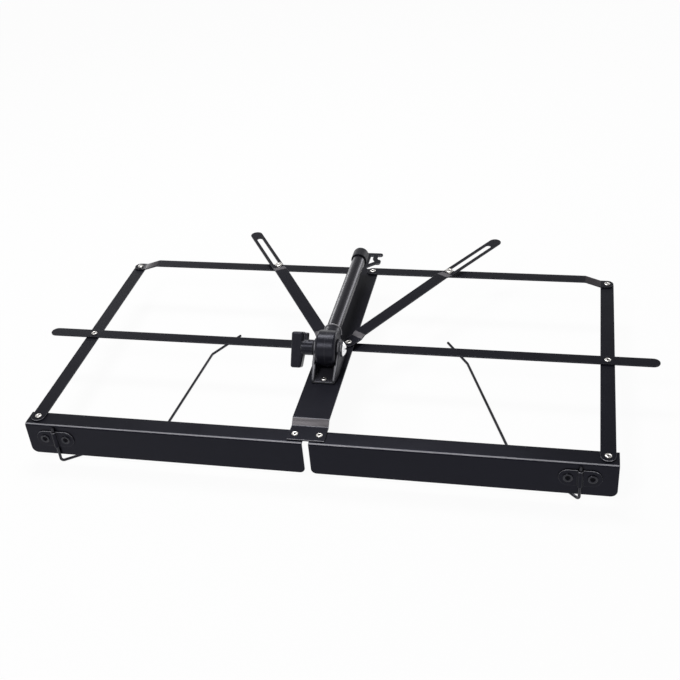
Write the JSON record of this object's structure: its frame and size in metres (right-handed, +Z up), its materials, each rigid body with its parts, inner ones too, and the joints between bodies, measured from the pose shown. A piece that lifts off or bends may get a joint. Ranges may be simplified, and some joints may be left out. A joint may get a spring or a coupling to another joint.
{
  "type": "tabletop music stand",
  "caption": "Folding music desk of riveted flat bars with a lipped ledge, swing-out page wires and a tube leg on a wing-knob tilt clamp, lying face down.",
  "frame": {"origin": "under the middle of the stand's box, on the surface it lies on", "axes": "+X along the ledges, +Y from the ledges to the top of the desk, +Z up from the surface, out of the back of the desk"},
  "size_m": [0.552, 0.3246, 0.0775],
  "materials": {
    "painted_metal": "satin black powder coat",
    "black_plastic": "fine-grained moulded black plastic",
    "rivet_steel": "bright zinc plate, dark eye",
    "bolt_chrome": "bright plate",
    "wire_black": "black lacquered wire",
    "cap_rubber": "matte black"
  },
  "bodies": {
    "spine": {"spine_plate": "painted_metal", "ledge_pivot_rivets": "rivet_steel", "brace_pivot_rivets": "rivet_steel", "top_bar_pivot_rivets": "rivet_steel", "spacer_washers": "black_plastic", "clamp_bracket": "black_plastic", "clamp_bracket_rivets": "rivet_steel", "tilt_bolt": "bolt_chrome", "knob_washer": "painted_metal"},
    "leg": {"tube_socket": "black_plastic", "support_tube": "painted_metal", "end_cap": "cap_rubber"},
    "knob": {"wing_knob": "black_plastic", "knob_nut": "rivet_steel"},
    "left_ledge": {"left_ledge": "painted_metal", "left_corner_rivet": "rivet_steel", "left_wire_clip": "painted_metal", "left_wire_clip_rivets": "painted_metal"},
    "left_page_wire": {"left_page_wire": "wire_black"},
    "left_outer_bar": {"left_outer_bar": "painted_metal", "left_outer_bar_rivets": "rivet_steel"},
    "left_cross_bar": {"left_cross_bar": "painted_metal"},
    "left_top_bar": {"left_top_bar": "painted_metal", "left_slide_rivet": "rivet_steel"},
    "left_brace": {"left_brace": "painted_metal"},
    "right_ledge": {"right_ledge": "painted_metal", "right_corner_rivet": "rivet_steel", "right_wire_clip": "painted_metal", "right_wire_clip_rivets": "painted_metal"},
    "right_page_wire": {"right_page_wire": "wire_black"},
    "right_outer_bar": {"right_outer_bar": "painted_metal", "right_outer_bar_rivets": "rivet_steel"},
    "right_cross_bar": {"right_cross_bar": "painted_metal"},
    "right_top_bar": {"right_top_bar": "painted_metal", "right_slide_rivet": "rivet_steel"},
    "right_brace": {"right_brace": "painted_metal"}
  },
  "joints": [
    {"name": "left_fold", "type": "hinge", "parent": "spine", "child": "left_ledge", "pos_m": [-0.01, -0.14908, 0.0386], "axis": [0, 0, -1], "range_deg": [0, 85]},
    {"name": "left_corner_pivot", "type": "hinge", "parent": "left_ledge", "child": "left_outer_bar", "pos_m": [-0.233, -0.14908, 0.0386], "axis": [0, 0, -1], "range_deg": [-85, 0]},
    {"name": "left_cross_pivot", "type": "hinge", "parent": "spine", "child": "left_cross_bar", "pos_m": [-0.01, -0.02608, 0.0445], "axis": [0, 0, -1], "range_deg": [0, 85]},
    {"name": "left_top_pivot", "type": "hinge", "parent": "spine", "child": "left_top_bar", "pos_m": [-0.01, 0.09742, 0.0445], "axis": [0, 0, -1], "range_deg": [0, 85]},
    {"name": "left_brace_pivot", "type": "hinge", "parent": "spine", "child": "left_brace", "pos_m": [-0.01, -0.02608, 0.0445], "axis": [0, 0, -1], "range_deg": [0, 29.8]},
    {"name": "left_wire_swing", "type": "hinge", "parent": "left_ledge", "child": "left_page_wire", "pos_m": [-0.2163, -0.16003, 0.0386], "axis": [0, 0, -1], "range_deg": [-25, 55]},
    {"name": "right_fold", "type": "hinge", "parent": "spine", "child": "right_ledge", "pos_m": [0.01, -0.14908, 0.0386], "axis": [0, 0, 1], "range_deg": [0, 85]},
    {"name": "right_corner_pivot", "type": "hinge", "parent": "right_ledge", "child": "right_outer_bar", "pos_m": [0.233, -0.14908, 0.0386], "axis": [0, 0, 1], "range_deg": [-85, 0]},
    {"name": "right_cross_pivot", "type": "hinge", "parent": "spine", "child": "right_cross_bar", "pos_m": [0.01, -0.02608, 0.0445], "axis": [0, 0, 1], "range_deg": [0, 85]},
    {"name": "right_top_pivot", "type": "hinge", "parent": "spine", "child": "right_top_bar", "pos_m": [0.01, 0.09742, 0.0445], "axis": [0, 0, 1], "range_deg": [0, 85]},
    {"name": "right_brace_pivot", "type": "hinge", "parent": "spine", "child": "right_brace", "pos_m": [0.01, -0.02608, 0.0445], "axis": [0, 0, 1], "range_deg": [0, 29.8]},
    {"name": "right_wire_swing", "type": "hinge", "parent": "right_ledge", "child": "right_page_wire", "pos_m": [0.2133, -0.16003, 0.0386], "axis": [0, 0, 1], "range_deg": [-25, 55]},
    {"name": "leg_tilt", "type": "hinge", "parent": "spine", "child": "leg", "pos_m": [0, -0.06008, 0.062], "axis": [1, 0, 0], "range_deg": [0, 110]},
    {"name": "knob_turn", "type": "hinge", "parent": "spine", "child": "knob", "pos_m": [-0.012, -0.06008, 0.062], "axis": [1, 0, 0], "continuous": true}
  ],
  "couplings": [
    {"joint": "left_corner_pivot", "follows": "left_fold", "ratio": -1},
    {"joint": "left_cross_pivot", "follows": "left_fold", "ratio": 1},
    {"joint": "left_top_pivot", "follows": "left_fold", "ratio": 1},
    {"joint": "left_brace_pivot", "follows": "left_fold", "ratio": 0.34948},
    {"joint": "right_corner_pivot", "follows": "right_fold", "ratio": -1},
    {"joint": "right_cross_pivot", "follows": "right_fold", "ratio": 1},
    {"joint": "right_top_pivot", "follows": "right_fold", "ratio": 1},
    {"joint": "right_brace_pivot", "follows": "right_fold", "ratio": 0.34948}
  ]
}
